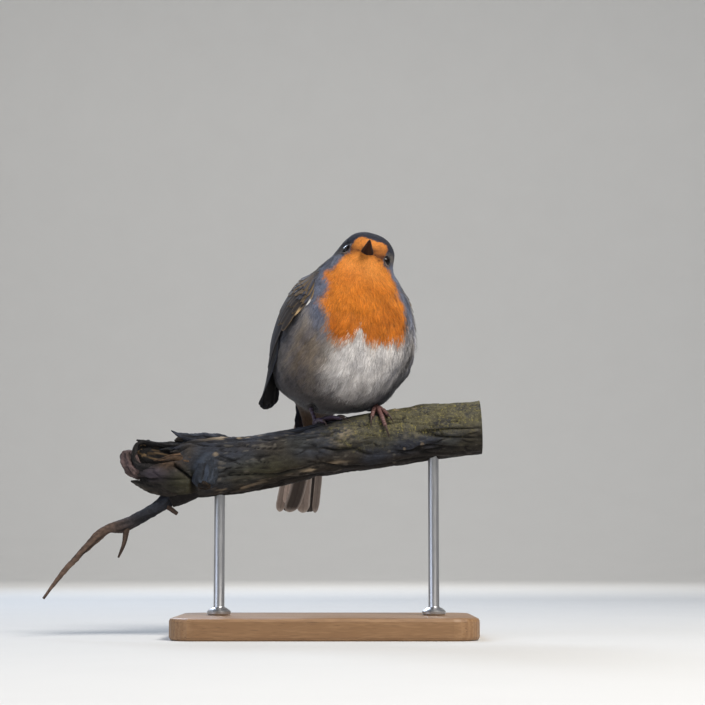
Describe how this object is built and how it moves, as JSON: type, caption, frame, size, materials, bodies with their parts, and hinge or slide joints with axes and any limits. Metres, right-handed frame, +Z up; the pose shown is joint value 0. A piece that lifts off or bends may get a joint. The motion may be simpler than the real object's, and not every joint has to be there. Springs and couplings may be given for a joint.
{
  "type": "robin on a branch, still display model",
  "caption": "Life-size European robin perched on a short cut branch, held over a flat base by two short rods; still model with an orange breast and folded wings.",
  "frame": {"origin": "on the underside of the stand's base, straight under the bird's body", "axes": "+X along the branch towards its sawn right end, as the viewer in front sees it; +Y away from the viewer, towards the bird's tail; +Z up"},
  "size_m": [0.2014, 0.0938, 0.1864],
  "materials": {
    "plumage_orange": "soft feathers",
    "plumage_pale": "soft feathers",
    "plumage_brown": "feathers",
    "eye": "wet gloss",
    "bill": "horn, low sheen",
    "leg_skin": "scaled skin",
    "claw": "horn, low sheen",
    "bark": "weathered bark with lichen",
    "stand_wood": "oiled wood",
    "stand_metal": "brushed"
  },
  "bodies": {
    "root": {"trunk": "plumage_pale", "neck": "plumage_orange", "head": "plumage_orange", "eye_left": "eye", "eye_right": "eye", "bill_upper": "bill", "bill_lower": "bill", "wing_left": "plumage_brown", "wing_right": "plumage_brown", "primaries_left": "plumage_brown", "primaries_right": "plumage_brown", "tail": "plumage_brown", "leg_left": "leg_skin", "leg_right": "leg_skin", "claw_left_hind": "claw", "claw_left_inner": "claw", "claw_left_middle": "claw", "claw_left_outer": "claw", "claw_right_hind": "claw", "claw_right_inner": "claw", "claw_right_middle": "claw", "claw_right_outer": "claw", "branch": "bark", "branch_twig": "bark", "stand_base": "stand_wood", "stand_rod_left": "stand_metal", "stand_rod_right": "stand_metal"}
  },
  "joints": []
}
